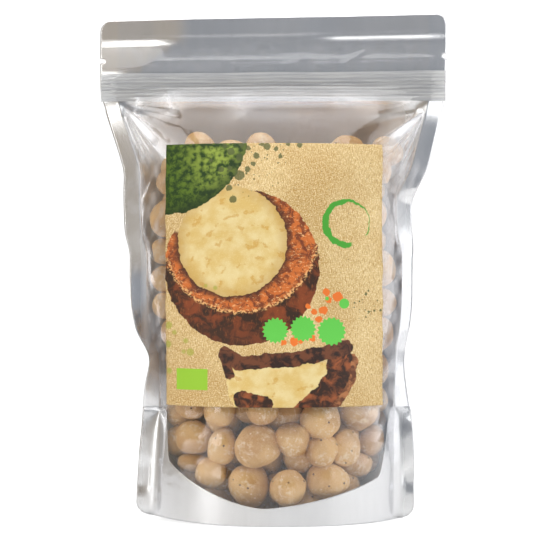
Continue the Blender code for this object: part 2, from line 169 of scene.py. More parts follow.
BACK_CREASES = (
    (-70, 200, -40, 168, 1.0, 5.0), (70, 200, 44, 170, 0.9, 5.0), (-68, 196, -52, 150, 1.0, 2.0),
    (69, 196, 54, 150, 1.1, 2.0), (-60, 30, -45, 70, 0.9, 3.0), (60, 30, 46, 72, 1.0, 3.0),
    (-20, 204, -12, 184, 0.3, 4.0), (22, 204, 12, 186, 0.3, 4.0), (-62, 86, -30, 96, 0.8, 3.0),
    (30, 84, 62, 78, 0.8, 3.0), (-10, 20, -22, 60, 0.5, 4.0), (18, 18, 26, 58, 0.5, 4.0),
)


def at_height(stations, height):
    """Smooth values at heights in metres, through (height in mm, value) stations, with no overshoot."""
    levels = np.array([s[0] for s in stations], float) * MM
    values = np.array([s[1] for s in stations], float)
    spans = np.diff(levels)
    rates = np.diff(values) / spans
    product = rates[:-1] * rates[1:]
    total = np.where(product > 0, rates[:-1] + rates[1:], 1.0)
    slopes = np.concatenate((rates[:1], np.where(product > 0, 2 * product / total, 0.0), rates[-1:]))
    height = np.clip(height, levels[0], levels[-1])
    i = np.clip(np.searchsorted(levels, height, side="right") - 1, 0, len(spans) - 1)
    t = (height - levels[i]) / spans[i]
    start = (1 + 2 * t) * (1 - t) ** 2 * values[i] + t * (1 - t) ** 2 * spans[i] * slopes[i]
    end = t * t * (3 - 2 * t) * values[i + 1] + t * t * (t - 1) * spans[i] * slopes[i + 1]
    return start + end


def ramp(value, low, high):
    """Smooth step from 0 at low to 1 at high."""
    t = np.clip((value - low) / (high - low), 0, 1)
    return t * t * (3 - 2 * t)


def band(value, low, high, fall, gone):
    """1 from high to fall, with a smooth rise from low and a smooth fall to gone."""
    return ramp(value, low, high) * (1 - ramp(value, fall, gone))


def ridge(off, width):
    """A rounded ridge, 1 on its line, with a width in mm."""
    return np.exp(-(off / (width * MM)) ** 2)


def ripples(x, z, wavelength, seed, stretch=1.0, waves=22):
    """A smooth random field about 0 with unit variance, from plane waves about one wavelength long."""
    rng = np.random.default_rng(seed)
    field = np.zeros(np.broadcast(x, z).shape)
    for _ in range(waves):
        heading = rng.uniform(0, math.pi)
        pitch = 2 * math.pi / (wavelength * rng.uniform(0.6, 1.6))
        phase = rng.uniform(0, 2 * math.pi)
        field += np.sin(pitch * (x * math.cos(heading) * stretch + z * math.sin(heading)) + phase)
    return field * math.sqrt(2 / waves)


def crinkle(x, z, wavelength, seed, stretch=1.0):
    """Sharp-edged folds: the ridge lines run where a smooth random field is 0."""
    return 1 - np.abs(ripples(x, z, wavelength, seed, stretch))


def crease(x, z, ax, az, bx, bz, height, width):
    """One straight fold from a to b, all in mm: a sharp ridge that fades out past its ends."""
    ax, az, bx, bz = (value * MM for value in (ax, az, bx, bz))
    length = math.hypot(bx - ax, bz - az)
    along = ((x - ax) * (bx - ax) + (z - az) * (bz - az)) / length ** 2
    off = np.abs((x - ax) * (bz - az) - (z - az) * (bx - ax)) / length
    return height * MM * np.exp(-off / (width * MM)) * band(along, -0.15, 0.15, 0.8, 1.15)


def fan(x, z, apex, stations, full, gone):
    """Facets that radiate from an apex, from (degrees below level, height in mm) stations."""
    dx = (x - apex[0] * MM) * -math.copysign(1, apex[0])
    dz = apex[1] * MM - z
    angle = np.degrees(np.arctan2(dz, dx))
    facets = np.interp(angle, [s[0] for s in stations], [s[1] for s in stations])
    return facets * MM * band(np.hypot(dx, dz) / MM, 0, full, full, gone)


def folded(x, z, left, right, creases, share=1.0):
    """Single folds, and a fan below each end of the zip, as (stations, full, gone)."""
    relief = share * (fan(x, z, LEFT_APEX, *left) + fan(x, z, RIGHT_APEX, *right))
    for fold in creases:
        relief += crease(x, z, *fold)
    return relief


def whitening(x, z):
    """Painted highlight on the front film: white that stands in for glare on facets, folds and the flanks."""
    glare = folded(x, z, (LEFT_GLARE_STREAKS, 9, 42), (RIGHT_GLARE_STREAKS, 9, 40), GLARE_STREAKS)
    # The flanks get a faint painted veil of glare, a little stronger on the right.
    flank_glare = ramp(np.abs(x) / MM, 44, 56) * band(z / MM, 20, 60, 170, 190)
    flank_glare = flank_glare * np.clip(0.1 + 0.04 * np.sign(x) + 0.04 * ripples(x, z, 9 * MM, 9, 1.6), 0, 1)
    return np.clip(glare / MM + flank_glare, 0, 1)


def kernel_names():
    """The CAD nodes that are one kernel each."""
    return [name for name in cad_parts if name.startswith("kernel_") and name != "kernel_fill"]


def kernel_boxes():
    """Centre and extent of each."""
    boxes = [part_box(name) for name in kernel_names()]
    return [((low + high) / 2, high - low) for low, high in boxes]


def kernel_press(x, z):
    """The film stands proud over each kernel that presses on it."""
    lift = np.zeros(np.broadcast(x, z).shape)
    for centre, extent in kernel_boxes():
        reach = 0.55 * extent.length / 3.4
        off = ((x - centre.x) ** 2 + (z - centre.z) ** 2) / reach ** 2
        lift = np.maximum(lift, KERNEL_PRESS * np.exp(-off))
    return lift


def front_relief(x, z):
    """How far the front film's folds stand out."""
    relief = folded(x, z, (LEFT_FAN, 20, 40), (RIGHT_FAN, 22, 42), FRONT_CREASES)
    loose = band(z / MM, 176, 190, 193, 203)
    flank = ramp(np.abs(x) / MM, 52, 60) * (1 - ramp(z / MM, 160, 186))
    relief += 0.16 * MM * loose * ripples(x, z, 34 * MM, 3)
    relief += 0.12 * MM * flank * crinkle(x, z, 15 * MM, 5, 1.8)
    relief += 0.02 * MM * (loose + flank + 0.3) * ripples(x, z, 6 * MM, 8, 1.5)
    return relief + kernel_press(x, z)


def back_relief(x, z):
    """How far the back film's folds stand out."""
    relief = folded(x, z, (RIGHT_FAN, 20, 44), (LEFT_FAN, 22, 44), BACK_CREASES, 0.5)
    full = band(z / MM, 12, 30, 186, 206)
    relief += 0.25 * MM * full * ripples(x, z, 26 * MM, 13)
    relief += 0.12 * MM * full * crinkle(x, z, 22 * MM, 15, 1.3)
    return relief + 0.02 * MM * ripples(x, z, 6 * MM, 18)


def arc(height):
    """Radius, half-angle and sideways middle of the films' arc."""
    angle = at_height(BULGE, height)
    return INNER_WIDTH / (2 * angle), angle, at_height(SHIFT, height) * MM


def half_stack(height):
    """Distance of each film from the middle plane in the side seals."""
    opened = band(height, ZIP_LOW - ZIP_OPENS_OVER, ZIP_LOW, ZIP_HIGH, ZIP_HIGH + ZIP_CLOSES_OVER)
    in_gusset = 1 - ramp(height, GUSSET_FOLD - 1 * MM, GUSSET_FOLD + 1 * MM)
    return LAYER / 2 + LAYER * in_gusset + ZIP_SPREAD * opened


def sway(x, height):
    """Depth by which the flat top waves, all its layers together."""
    across, level = x / MM, height / MM
    curve = -66 + 23 * np.clip((level - 217) / 19, 0, 0.9) ** 1.6
    corner = 0.225 * np.logaddexp(0, (curve - across) / 2.2) * ramp(level, 214, 221)
    roll = 0.5 * np.sin((across + 20) / 38) * ramp(level, 205, 230)
    lean = 1.1 * ramp(height, ZIP_HIGH - 1 * MM, ZIP_HIGH + ZIP_CLOSES_OVER)
    ends = 1 - ramp(across, -60, -40) + ramp(across, 12, 34)
    shelf = 0.8 * ends * ramp(level, 232.5, 237.5)
    return (corner + roll + lean + shelf) * MM


def film_relief_lines(x, height):
    """Pressed lines in the flat top: the top seal's edge, the score line and the zip's ribs."""
    pressed = -0.1 * ramp(height, TOP_SEAL - 0.4 * MM, TOP_SEAL + 0.4 * MM)
    pressed = pressed + 0.05 * ridge(height - TOP_SEAL + 1.4 * MM, 0.5)
    score = 0.07 * ridge(height - SCORE_HEIGHT, 0.35)
    near_zip = band(height, ZIP_LOW, ZIP_LOW + 1 * MM, ZIP_HIGH - 1 * MM, ZIP_HIGH)
    wander = 0.3 * MM * ripples(x, height, 60 * MM, 31)
    ribs = 0.09 * near_zip * np.sin((height + wander) * 2 * math.pi / RIB_SPACING)
    return (pressed + score + ribs) * MM


def seal_width(height):
    """Width of the side seals, less their rounded corners."""
    width = np.full(np.shape(height), SIDE_SEAL)
    for beyond in (CORNER_RADIUS - height, height - (HEIGHT - CORNER_RADIUS)):
        inside = np.clip(beyond, 0, CORNER_RADIUS)
        width = width - (CORNER_RADIUS - np.sqrt(CORNER_RADIUS ** 2 - inside ** 2))
    return width


def seal_relief(end, from_edge, height):
    """Marks in the side seals: the gusset's fold, the crushed zip and the inner line."""
    fold = 0.35 * (1 - ramp(height, GUSSET_FOLD - 0.5 * MM, GUSSET_FOLD))
    crushed = band(height, ZIP_LOW, ZIP_LOW + 2 * MM, ZIP_HIGH - 2 * MM, ZIP_HIGH)
    crushed = 0.22 * crushed * ripples(from_edge, height, 3.2 * MM, 41 + end, 0.4)
    inner_line = ridge(from_edge - SIDE_SEAL + 0.4 * MM, 0.3) * ramp(height, 200 * MM, 215 * MM)
    return (fold + crushed + 0.2 * inner_line) * MM


def standing_height(x, height):
    """Height of a point of film: the corners lift off the table, the top rises to the right."""
    across = x / (FLAT_WIDTH / 2)
    lift = np.where(x < 0, CORNER_LIFT_LEFT * np.abs(across) ** 2.2, CORNER_LIFT_RIGHT * np.abs(across) ** 5)
    fade = 1 - ramp(height, 0, LIFT_FADES_AT)
    return height + lift * fade + TOP_LEAN * x * ramp(height, TOP_LEANS_FROM, HEIGHT)


def placed(x, y, height):
    """Points of the pouch from place across, depth and height up the film."""
    x, y, height = np.broadcast_arrays(x, y, height)
    return np.stack((x, y + sway(x, height), standing_height(x, height)), axis=-1)


def bulge_points(height, across, side, off=0.0):
    """Points of a film between its side seals, at fractions of its half-width."""
    radius, angle, middle = arc(height)
    turn = angle * across
    x = middle + radius * np.sin(turn)
    y = radius * (np.cos(turn) - np.cos(angle)) + half_stack(height)
    relief = front_relief(x, height) if side < 0 else back_relief(x, height)
    anchored = ramp(1 - np.abs(across), 0, 0.05) * (1 - ramp(height, TOP_SEAL - 8 * MM, TOP_SEAL))
    out = relief * anchored + film_relief_lines(x, height) + off
    return placed(x + np.sin(turn) * out, side * (y + np.cos(turn) * out), height)


def seal_points(height, end, side, depth):
    """Points of one layer of a side seal, from its inner line outwards."""
    radius, angle, middle = arc(height)
    turn = np.radians(at_height(LEFT_TURN if end < 0 else RIGHT_TURN, height))
    along = (end * np.cos(turn), -np.sin(turn))
    out = (-along[1] * end * side, along[0] * end * side)
    share = np.linspace(0, 1, SEAL_COLUMNS + 1)[None, 1:]
    run = seal_width(height) * share
    relief = depth - side * seal_relief(end, seal_width(height) - run, height)
    x = middle + end * radius * np.sin(angle) + out[0] * relief + along[0] * run
    return placed(x, out[1] * relief + along[1] * run, height)


def with_seals(inner, height, side, depth):
    """Rows of film between the side seals, with the seals added at both ends."""
    left = seal_points(height, -1, side, depth)[:, ::-1]
    right = seal_points(height, 1, side, depth)
    return np.concatenate((left, inner, right), axis=1)


def film_rows():
    """Heights of a film's rows, closer where it has more detail."""
    bands = [np.linspace(low, high, count, endpoint=False) for low, high, count in ROW_BANDS]
    return (np.concatenate([*bands, [HEIGHT / MM]]) * MM)[:, None]


def film_columns():
    """Fractions of the film's half-width, closer towards the side seals."""
    even = np.linspace(-1, 1, INNER_COLUMNS + 1)[None, :]
    return 0.45 * even + 0.55 * np.sin(math.pi / 2 * even)


def punch_mark(end, from_edge, level):
    """1 inside the half-round punched in the gusset's end, where the films are welded together."""
    if end < 0:
        shape = (((level - 22 * MM) / (7.6 * MM)) ** 4 + (from_edge / (7.6 * MM)) ** 4) ** 0.25
    else:
        shape = np.hypot(level - 20.8 * MM, from_edge) / (6.3 * MM)
    return 1 - ramp(shape, 0.88, 1.06)


def eased(grid):
    """Round the lines between bulge and side seals low down, where the gusset stiffens them."""
    column = np.arange(grid.shape[1])
    from_seam = np.minimum(np.abs(column - SEAL_COLUMNS), np.abs(column - SEAL_COLUMNS - INNER_COLUMNS))
    share = (1 - ramp(grid[:, :, 2], *SEAM_EASED_BELOW)) * np.exp(-(from_seam / SEAM_EASED_OVER) ** 2)
    for _ in range(SEAM_PASSES):
        between = (grid[:, :-2] + grid[:, 2:]) / 2 - grid[:, 1:-1]
        grid[:, 1:-1] += 0.5 * between * share[:, 1:-1, None]
    for end, outer, columns in ((-1, 0, slice(0, SEAL_COLUMNS)), (1, -1, slice(-SEAL_COLUMNS, None))):
        from_edge = np.abs(grid[:, columns, 0] - grid[:, [outer], 0])
        grid[:, columns, 1] += 0.6 * MM * punch_mark(end, from_edge, grid[:, columns, 2])
    return grid


def whole_row(height, side):
    """Points of a film from one outer edge to the other."""
    inner = bulge_points(height, film_columns(), side)
    return eased(with_seals(inner, height, side, half_stack(height)))


def mesh_from_grid(name, grid):
    """A sheet of quads through a grid of points, with a UV map."""
    rows, columns = grid.shape[:2]
    index = np.arange(rows * columns).reshape(rows, columns)
    quads = np.stack((index[:-1, :-1], index[:-1, 1:], index[1:, 1:], index[1:, :-1]), axis=-1).reshape(-1, 4)
    mesh = bpy.data.meshes.new(name)
    mesh.from_pydata(grid.reshape(-1, 3).tolist(), [], quads.tolist())
    u, v = np.meshgrid(np.linspace(0, 1, columns), np.linspace(0, 1, rows))
    places = np.stack((u, v), axis=-1).reshape(-1, 2)
    layer = mesh.uv_layers.new(name="sheet")
    layer.data.foreach_set("uv", places[quads.ravel()].astype(np.float32).ravel())
    mesh.shade_smooth()
    return mesh


def mesh_points(mesh):
    """A mesh's vertices as an array."""
    points = np.zeros(len(mesh.vertices) * 3, np.float32)
    mesh.vertices.foreach_get("co", points)
    return points.reshape(-1, 3).astype(float)


def linked(name, data):
    """A new object in the scene."""
    made = bpy.data.objects.new(name, data)
    bpy.context.scene.collection.objects.link(made)
    return made


def add_piece(name, mesh, material, node):
    """A piece that rides on the pouch's one body and stands for a CAD node."""
    mesh.materials.append(material)
    piece = linked(name, mesh)
    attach(piece, "root")
    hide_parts(node)
    return piece


def add_sheet(name, grid, material, node, thickness):
    """A piece made from a grid of points, with its thickness."""
    piece = add_piece(name, mesh_from_grid(name, grid), material, node)
    solid = piece.modifiers.new("Thickness", "SOLIDIFY")
    solid.thickness = thickness
    solid.offset = 0
    solid.use_even_offset = True
    solid.thickness_clamp = 1.0
    return piece


def mark_glare_highlight(mesh):
    """Store the share of painted highlight at each point."""
    points = mesh_points(mesh)
    layer = mesh.attributes.new("whitening", "FLOAT", "POINT")
    layer.data.foreach_set("value", whitening(points[:, 0], points[:, 2]).astype(np.float32))


def notched(grid):
    """Pull the outer edges in round the two tear notches."""
    for edge, inward in ((0, 1), (-1, -1)):
        off = (grid[:, edge, 2] - standing_height(grid[:, edge, 0], NOTCH_HEIGHT)) / NOTCH_HALF
        depth = NOTCH_DEPTH * np.sqrt(np.clip(1 - off ** 2, 0, 1))
        limit = grid[:, edge, 0] + inward * depth
        for step in range(4):
            column = edge + inward * step
            place = limit + inward * 0.05 * MM * step
            grid[:, column, 0] = inward * np.maximum(inward * grid[:, column, 0], inward * place)
    return grid


def seal_height(across):
    """Height of the gusset's curved seal at a signed fraction of the half-width."""
    rise = np.where(across < SEAL_LOWEST_AT, SEAL_RISE_LEFT, SEAL_RISE_RIGHT)
    curve = SEAL_LOW + rise * np.abs(across - SEAL_LOWEST_AT) ** SEAL_POWER
    turn = ramp(-across, *SEAL_TURNS_UP_LEFT) + ramp(across, *SEAL_TURNS_UP_RIGHT)
    return curve + (GUSSET_FOLD - curve) * turn


def gusset_skirt(side, shares):
    """Rows of the gusset's layer sealed inside one film, up to the curved seal."""
    across = film_columns()
    inner = bulge_points(shares * seal_height(across), across, side, -LAYER)
    return eased(with_seals(inner, shares * GUSSET_FOLD, side, LAYER / 2))


def gusset_floor(front, back, steps):
    """Rows of the gusset between its curved seals, sagging to the table under the kernels."""
    seals = np.ones(SEAL_COLUMNS)
    across = np.abs(np.concatenate((seals, film_columns()[0], seals)))
    level = (front[:, 2] + back[:, 2]) / 2
    rise = np.clip((across - FLOOR_FLAT_ALONG) / (1 - FLOOR_FLAT_ALONG), 0, 1)
    middle = FILM / 2 + (GUSSET_FOLD - FILM / 2) * rise ** FLOOR_POWER
    taut = level - FLOOR_TAUT * np.abs(back[:, 1] - front[:, 1]) / 2
    low = np.minimum(np.maximum(middle, taut), level)
    flat = FLOOR_FLAT_ACROSS * (1 - across ** 3)
    rows = []
    for step in range(1, steps):
        swing = -1 + 2 * step / steps
        climb = np.clip((abs(swing) - flat) / (1 - flat), 0, 1)
        row = (front + back) / 2 + (back - front) / 2 * swing
        row[:, 2] = low + (level - low) * climb ** (2 - across ** 2)
        loose = (1 - across ** 4) * (1 - abs(swing) ** 6)
        row[:, 2] += np.abs(FLOOR_WRINKLE * ripples(row[:, 0], row[:, 1], 14 * MM, 61) * loose)
        rows.append(row)
    return np.stack(rows)


class Field:
    """A value that varies over a surface: arithmetic on it adds Math nodes."""

    def __init__(self, tree, socket):
        self.tree = tree
        self.socket = socket

    def math(self, operation, *others):
        made = new_node(self.tree, "Math", self, *others, operation=operation)
        return Field(self.tree, made.outputs[0])

    def __add__(self, other):
        return self.math("ADD", other)

    def __sub__(self, other):
        return self.math("SUBTRACT", other)

    def __mul__(self, other):
        return self.math("MULTIPLY", other)

    def __or__(self, other):
        return self.math("MAXIMUM", other)

    def less(self, other):
        """This mask, less another one."""
        return (self - other) | 0.0

    def step(self, low, high, start=0.0, end=1.0):
        """Smooth step between two values, which may be fields."""
        made = new_node(self.tree, "MapRange", self, low, high, start, end)
        made.interpolation_type = "SMOOTHSTEP"
        return Field(self.tree, made.outputs[0])

    def fade(self, low, high):
        """Smooth step down, from 1 to 0."""
        return self.step(low, high, 1.0, 0.0)


def plug(tree, value, slot):
    """Link a field or a socket to an input, or set the input to a constant."""
    if isinstance(value, Field):
        tree.links.new(value.socket, slot)
    elif isinstance(value, bpy.types.NodeSocket):
        tree.links.new(value, slot)
    elif isinstance(value, tuple) and len(value) == 3 and slot.type == "RGBA":
        slot.default_value = (*value, 1.0)
    else:
        slot.default_value = value


def new_node(tree, kind, *values, operation=None, **inputs):
    """A shader node, its kind without ShaderNode in front, with its first or named inputs fed."""
    made = tree.nodes.new("ShaderNode" + kind)
    if operation:
        made.operation = operation
    for slot, value in zip(made.inputs, values):
        plug(tree, value, slot)
    for name, value in inputs.items():
        plug(tree, value, made.inputs[name])
    return made


def union(masks):
    """The highest of several masks."""
    return reduce(or_, masks)


def mix_colours(tree, mask, under, over):
    """Colour: under where the mask is 0, over where it is 1."""
    made = new_node(tree, "Mix")
    made.data_type = "RGBA"
    for slot, value in ((0, mask), (6, under), (7, over)):
        plug(tree, value, made.inputs[slot])
    return made.outputs[2]


class Finish:
    """A node material with one Principled shader, and the textures that feed it."""

    def __init__(self, name, **constants):
        self.material = bpy.data.materials.new(name)
        self.material.use_nodes = True
        self.tree = self.material.node_tree
        self.shader = self.tree.nodes["Principled BSDF"]
        self.colour = None
        self.set(**constants)

    def set(self, **inputs):
        """Set or link the Principled shader's inputs: base_color is Base Color."""
        for name, value in inputs.items():
            plug(self.tree, value, self.shader.inputs[name.replace("_", " ").title().replace("Ior", "IOR")])

    def node(self, kind, *values, **inputs):
        return new_node(self.tree, kind, *values, **inputs)

    def vector(self, operation, *values):
        """Vector from a Vector Math node."""
        return self.node("VectorMath", *values, operation=operation).outputs["Vector"]

    def value(self, operation, *values):
        """Number from a Vector Math node."""
        return Field(self.tree, self.node("VectorMath", *values, operation=operation).outputs["Value"])

    def place(self, source="Object", scale=(1, 1, 1), turn=0.0):
        """Coordinates, in metres for Object, scaled and turned about Z."""
        source = self.node("TexCoord").outputs[source]
        return self.node("Mapping", Vector=source, Scale=scale, Rotation=(0, 0, turn)).outputs[0]

    def noise(self, where, scale, detail=3.0, roughness=0.5, distortion=0.0):
        """Noise from 0 to 1."""
        made = self.node("TexNoise", Vector=where, Scale=scale, Detail=detail, Roughness=roughness,
                         Distortion=distortion)
        return Field(self.tree, made.outputs[0])

    def axes(self, where):
        """The three coordinates as fields."""
        split = self.node("SeparateXYZ", Vector=where)
        return [Field(self.tree, split.outputs[axis]) for axis in "XYZ"]

    def cells(self, where, scale):
        """Distance to the nearest of scattered points, and a random number for each."""
        made = self.node("TexVoronoi", Vector=where, Scale=scale)
        split = self.node("SeparateColor", Color=made.outputs["Color"])
        return Field(self.tree, made.outputs["Distance"]), Field(self.tree, split.outputs[0])

    def specks(self, where, scale, reach, chosen):
        """Mask of scattered specks: their reach, and the random numbers that have one."""
        off, pick = self.cells(where, scale)
        return off.fade(*reach) * pick.step(*chosen)

    def jitter(self, where, scale, amount, detail=3.0):
        """Coordinates pushed about by noise."""
        made = self.node("TexNoise", Vector=where, Scale=scale, Detail=detail)
        centred = self.vector("MULTIPLY_ADD", made.outputs["Color"], (amount, amount, 0),
                              (-amount / 2, -amount / 2, 0))
        return self.vector("ADD", where, centred)

    def distance(self, where, centre):
        """Distance from a point."""
        return self.value("DISTANCE", where, (*centre, 0))

    def disc(self, where, centre, radius, soft=0.15):
        """Mask of a disc."""
        return self.distance(where, centre).fade(radius - soft, radius + soft)

    def spots(self, where, discs, soft=0.15):
        """Mask of several discs: (x, y, radius) each."""
        return union([self.disc(where, (x, y), radius, soft) for x, y, radius in discs])

    def stroke(self, where, points, half_width, soft=0.2):
        """Mask of a line drawn through points."""
        pieces = []
        for start, end in zip(points, points[1:]):
            reach = Vector((end[0] - start[0], end[1] - start[1], 0))
            moved = self.vector("SUBTRACT", where, (*start, 0))
            along = self.value("DOT_PRODUCT", moved, reach / reach.length_squared)
            nearest = self.vector("SCALE", reach)
            plug(self.tree, (along | 0.0).math("MINIMUM", 1.0), nearest.node.inputs["Scale"])
            pieces.append(self.value("DISTANCE", moved, nearest).fade(half_width - soft, half_width + soft))
        return union(pieces)

    def burst(self, where, centre, radius, spikes, depth, soft=0.2):
        """Mask of a disc with a spiky edge."""
        across, up, _ = self.axes(self.vector("SUBTRACT", where, (*centre, 0)))
        wave = (up.math("ARCTAN2", across) * spikes).math("SINE") * depth
        return (self.distance(where, centre) + wave).fade(radius - soft, radius + soft)

    def rectangle(self, where, low, high, soft=0.1):
        """Mask of an upright rectangle."""
        across, up, _ = self.axes(where)
        mask = across.step(low[0] - soft, low[0] + soft) * across.fade(high[0] - soft, high[0] + soft)
        return mask * up.step(low[1] - soft, low[1] + soft) * up.fade(high[1] - soft, high[1] + soft)

    def mix(self, mask, under, over):
        """Colour: under where the mask is 0, over where it is 1."""
        return mix_colours(self.tree, mask, under, over)

    def coat(self, mask, over):
        """Lay a colour over the base colour so far, where the mask is 1."""
        self.colour = self.mix(mask, self.colour, over)

    def bump(self, height, strength, distance):
        """Link a bump to the shader's normal."""
        made = self.node("Bump", Height=height, Strength=strength, Distance=distance)
        self.set(normal=made.outputs[0])

    def see_through(self, opacity):
        """Mix the shader with a clear one: opacity is its share."""
        clear = self.node("BsdfTransparent")
        mixed = self.node("MixShader", opacity, clear.outputs[0], self.shader.outputs[0])
        plug(self.tree, mixed.outputs[0], self.tree.nodes["Material Output"].inputs["Surface"])


def clear_film_finish():
    """Clear glossy film: a mirror-like share that grows at a slant, with dust and smears, and white painted
    highlights where the stored painted highlight is high.
    """
    look = Finish("clear_film", base_color=(0.93, 0.93, 0.95))
    where = look.place()
    facing = look.node("LayerWeight", Blend=0.5)
    slant = Field(look.tree, facing.outputs["Facing"])
    dust = look.specks(where, 420.0, (0.05, 0.12), (0.8, 0.86))
    smear = look.noise(where, 22.0, 4.0, 0.6).step(0.45, 0.8)
    glare_attribute = look.node("Attribute")
    glare_attribute.attribute_name = "whitening"
    # The stored painted highlight: the film turns white, less metallic and less clear there, standing in for
    # glare.
    glare = Field(look.tree, glare_attribute.outputs["Fac"])
    share = slant.math("POWER", 2.5) * 0.85 + 0.035 + smear * 0.015 + dust * 0.2
    look.set(metallic=glare.step(0.0, 0.25, 1.0, 0.25), roughness=smear * 0.08 + 0.1)
    look.bump(look.noise(where, 260.0, 3.0), 0.12, 0.0002)
    look.see_through((share + glare * 0.75).math("MINIMUM", 0.95))
    return look.material


def metal_film_finish(name, shade, dulled):
    """Metallised film: satin silver with fine crinkles, dulled where it faces the kernels."""
    look = Finish(name)
    where = look.place()
    across, _, up = look.axes(where)
    inside = across.math("ABSOLUTE").fade(*DULLED_ACROSS) * up.fade(*DULLED_BELOW) * dulled
    streak = look.noise(look.place(scale=(6, 1, 1)), 60.0, 4.0, 0.6)
    look.set(base_color=look.mix(streak, (shade * 0.93,) * 3, (shade * 1.06,) * 3))
    look.set(metallic=inside.step(0.0, 1.0, 1.0, 0.8))
    look.set(roughness=look.noise(where, 35.0, 3.0) * 0.1 + inside * 0.22 + 0.2)
    look.bump(look.noise(where, 130.0, 4.0, 0.6), 0.07, 0.0004)
    return look.material


def zip_finish():
    """Translucent white polyethylene, drawn out along the zip."""
    look = Finish("zip_plastic", roughness=0.32)
    streak = look.noise(look.place(scale=(0.05, 1, 1)), 900.0, 4.0, 0.6)
    look.set(base_color=look.mix(streak.step(0.35, 0.7), (0.6, 0.61, 0.62), (0.72, 0.72, 0.71)))
    look.bump(streak, 0.12, 0.0003)
    look.see_through(streak.step(0.3, 0.75, 0.5, 0.6))
    return look.material


def kernel_finish():
    """Dry macadamia kernel: mottled tan, dusty patches, scuffs, and small pits that are dented and painted
    near-black, a painted shade in each dent.
    """
    look = Finish("kernel")
    where = look.place()
    tone = look.noise(where, 55.0, 2.0)
    mottle = look.noise(where, 330.0, 5.0, 0.65)
    look.colour = look.mix(tone.step(0.35, 0.65), (0.5, 0.27, 0.088), (0.67, 0.42, 0.17))
    look.coat(mottle.step(0.5, 0.75) * 0.6, (0.71, 0.51, 0.27))
    dusty = look.noise(where, 85.0, 3.0).step(0.47, 0.6)
    dust = look.noise(where, 420.0, 6.0, 0.75).step(0.48, 0.6) * dusty * 0.55
    scuff = look.noise(look.place(scale=(1, 1, 0.25), turn=0.6), 300.0, 6.0, 0.8).step(0.56, 0.66) * 0.35
    grains = look.specks(where, 480.0, (0.12, 0.26), (0.7, 0.8)) * 0.6
    look.coat(dust | scuff | grains, (0.82, 0.71, 0.54))
    # Small dents painted near-black: painted shade in each dent.
    shaded_pits = look.specks(where, 260.0, (0.08, 0.18), (0.72, 0.76))
    look.coat(shaded_pits, (0.12, 0.06, 0.03))
    look.set(base_color=look.colour, roughness=mottle.step(0.3, 0.7, 0.56, 0.74))
    look.bump(mottle * 0.6 + look.noise(where, 900.0, 4.0) * 0.45 - shaded_pits, 0.8, 0.0006)
    return look.material


# The label's print, in mm from the label's lower left corner
LABEL_WIDTH, LABEL_HEIGHT = 103.8, 125.7
HUSK_CENTRE, HUSK_RADIUS = (0, 131), 39.4
SHELL_CENTRE, SHELL_RADIUS = (36.4, 66.2), 36.8
KERNEL_CENTRE, KERNEL_RADIUS = (32.0, 78.5), 26.0
RIM_CENTRE, RIM_RADIUS = (35.5, 82.0), 37.0
PIECE_TOP = ((29, 25.5), (36, 20.5), (47, 22), (60, 22.5), (72, 25), (86, 28))
PIECE_LEFT = ((28.5, 24), (31, 15))
PIECE_RIGHT = ((83, 24), (81.5, 14), (76, 6), (66, -3))
PIECE_RIM = ((88.5, 22), (87.5, 13), (82.5, 5), (77, -2))
PIECE_CHIP = ((37, 3.5), (47, 1.5))
PIECE_HOLLOW, PIECE_HOLLOW_RADIUS = (54, 12), 24.0
RING_CENTRE, RING_RADIUS = (86.0, 87.3), 11.0
PATCH_LOW, PATCH_HIGH = (5.3, 7.8), (20.4, 17.9)
# Drops, badges and dots: (x, y, radius)
HUSK_DROPS = (
    (35.4, 110.0, 2.4), (32.5, 98.5, 1.8), (30.6, 104.0, 1.5), (39.3, 112.9, 1.3), (42.0, 115.6, 1.1),
    (43.4, 119.5, 1.5), (35.4, 118.7, 1.6), (31.5, 121.6, 1.7), (28.4, 124.6, 1.2), (36.4, 125.0, 1.4),
    (39.5, 123.3, 1.2), (46.3, 125.0, 1.0), (48.5, 124.0, 1.7), (52.9, 122.8, 1.1), (58.5, 125.2, 1.1),
    (64.0, 124.9, 1.4), (54.8, 119.1, 1.0), (26.7, 112.9, 1.4), (30.8, 113.7, 1.1), (21.8, 117.5, 0.8),
)
BADGES = (
    (52.4, 36.3, 5.7), (65.5, 37.2, 5.7), (79.0, 35.8, 6.4),
)
ORANGE_DOTS = (
    (76.6, 54.2, 1.7), (82.0, 52.4, 2.6), (70.6, 45.2, 1.6), (75.2, 45.9, 1.9), (56.3, 30.7, 1.4),
    (61.3, 31.0, 2.0), (72.8, 41.2, 1.6), (67.9, 47.5, 1.2), (77.6, 50.8, 1.5), (64.4, 31.4, 1.3),
    (69.8, 32.6, 1.4),
)
GREEN_DOTS = (
    (85.1, 49.0, 2.4), (76.9, 51.4, 0.9),
)
OLIVE_DOTS = (
    (1.5, 38.5, 1.8), (4.6, 35.2, 1.1), (9.8, 31.2, 1.2), (1.0, 29.5, 1.7), (12.0, 25.8, 1.8),
    (8.8, 26.0, 1.0), (1.6, 16.5, 1.4), (24.0, 56.5, 1.0), (19.5, 57.5, 0.8),
)


def on_label(look, across=1, up=1, turn=0.0):
    """Coordinates on the label in mm, or drawn out across and up by factors."""
    return look.place("UV", (LABEL_WIDTH * across, LABEL_HEIGHT * up, 1), turn)


def splatter(look, where, centre, reach, scale, biggest):
    """Mask of scattered drops that thin out away from a place."""
    off, pick = look.cells(where, scale)
    size = pick.math("POWER", 2.0) * look.distance(where, centre).fade(*reach) * biggest
    return off.fade(size - 0.04, size + 0.02) * size.step(0.03, 0.08)


